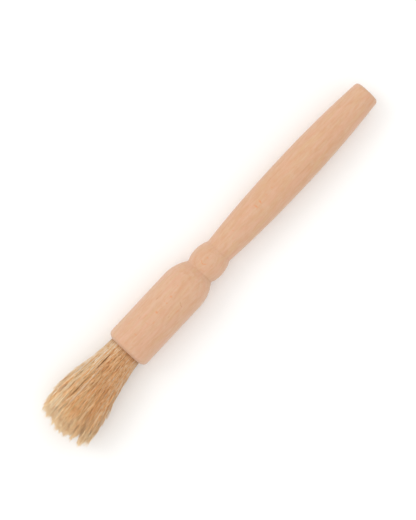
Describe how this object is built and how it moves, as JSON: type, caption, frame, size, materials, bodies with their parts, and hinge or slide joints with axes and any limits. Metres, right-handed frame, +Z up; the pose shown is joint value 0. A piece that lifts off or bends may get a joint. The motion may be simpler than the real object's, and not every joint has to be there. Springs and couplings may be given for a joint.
{
  "type": "pastry brush",
  "caption": "Round pastry brush: a one-piece turned wooden handle with a bead and a plain barrel, and a splayed tuft of natural bristle set in its bored end.",
  "frame": {"origin": "middle of the bounding box at its lowest level, beneath the lying brush; the handle's axis is 11 mm above it and 2.7 mm to the -Y side", "axes": "+X along the handle's axis from the butt to the bristle tips, +Y the side that the tuft leans to, +Z up"},
  "size_m": [0.2086, 0.0288, 0.0228],
  "materials": {
    "beech": "turned and sanded beech, bare, fine grain along the handle",
    "bristle": "natural blond bristle with darker streaks and paler split tips",
    "resin": "cured clear amber resin",
    "binding_cord": "twisted undyed cord"
  },
  "bodies": {
    "root": {"handle": "beech", "setting_resin": "resin", "root_binding": "binding_cord", "bristle_lock_core_01": "bristle", "bristle_lock_inner_01": "bristle", "bristle_lock_inner_02": "bristle", "bristle_lock_inner_03": "bristle", "bristle_lock_inner_04": "bristle", "bristle_lock_inner_05": "bristle", "bristle_lock_inner_06": "bristle", "bristle_lock_middle_01": "bristle", "bristle_lock_middle_02": "bristle", "bristle_lock_middle_03": "bristle", "bristle_lock_middle_04": "bristle", "bristle_lock_middle_05": "bristle", "bristle_lock_middle_06": "bristle", "bristle_lock_middle_07": "bristle", "bristle_lock_middle_08": "bristle", "bristle_lock_middle_09": "bristle", "bristle_lock_middle_10": "bristle", "bristle_lock_middle_11": "bristle", "bristle_lock_middle_12": "bristle", "bristle_lock_outer_01": "bristle", "bristle_lock_outer_02": "bristle", "bristle_lock_outer_03": "bristle", "bristle_lock_outer_04": "bristle", "bristle_lock_outer_05": "bristle", "bristle_lock_outer_06": "bristle", "bristle_lock_outer_07": "bristle", "bristle_lock_outer_08": "bristle", "bristle_lock_outer_09": "bristle", "bristle_lock_outer_10": "bristle", "bristle_lock_outer_11": "bristle", "bristle_lock_outer_12": "bristle", "bristle_lock_outer_13": "bristle", "bristle_lock_outer_14": "bristle", "bristle_lock_outer_15": "bristle", "bristle_lock_outer_16": "bristle", "bristle_lock_outer_17": "bristle", "bristle_lock_outer_18": "bristle"}
  },
  "joints": []
}
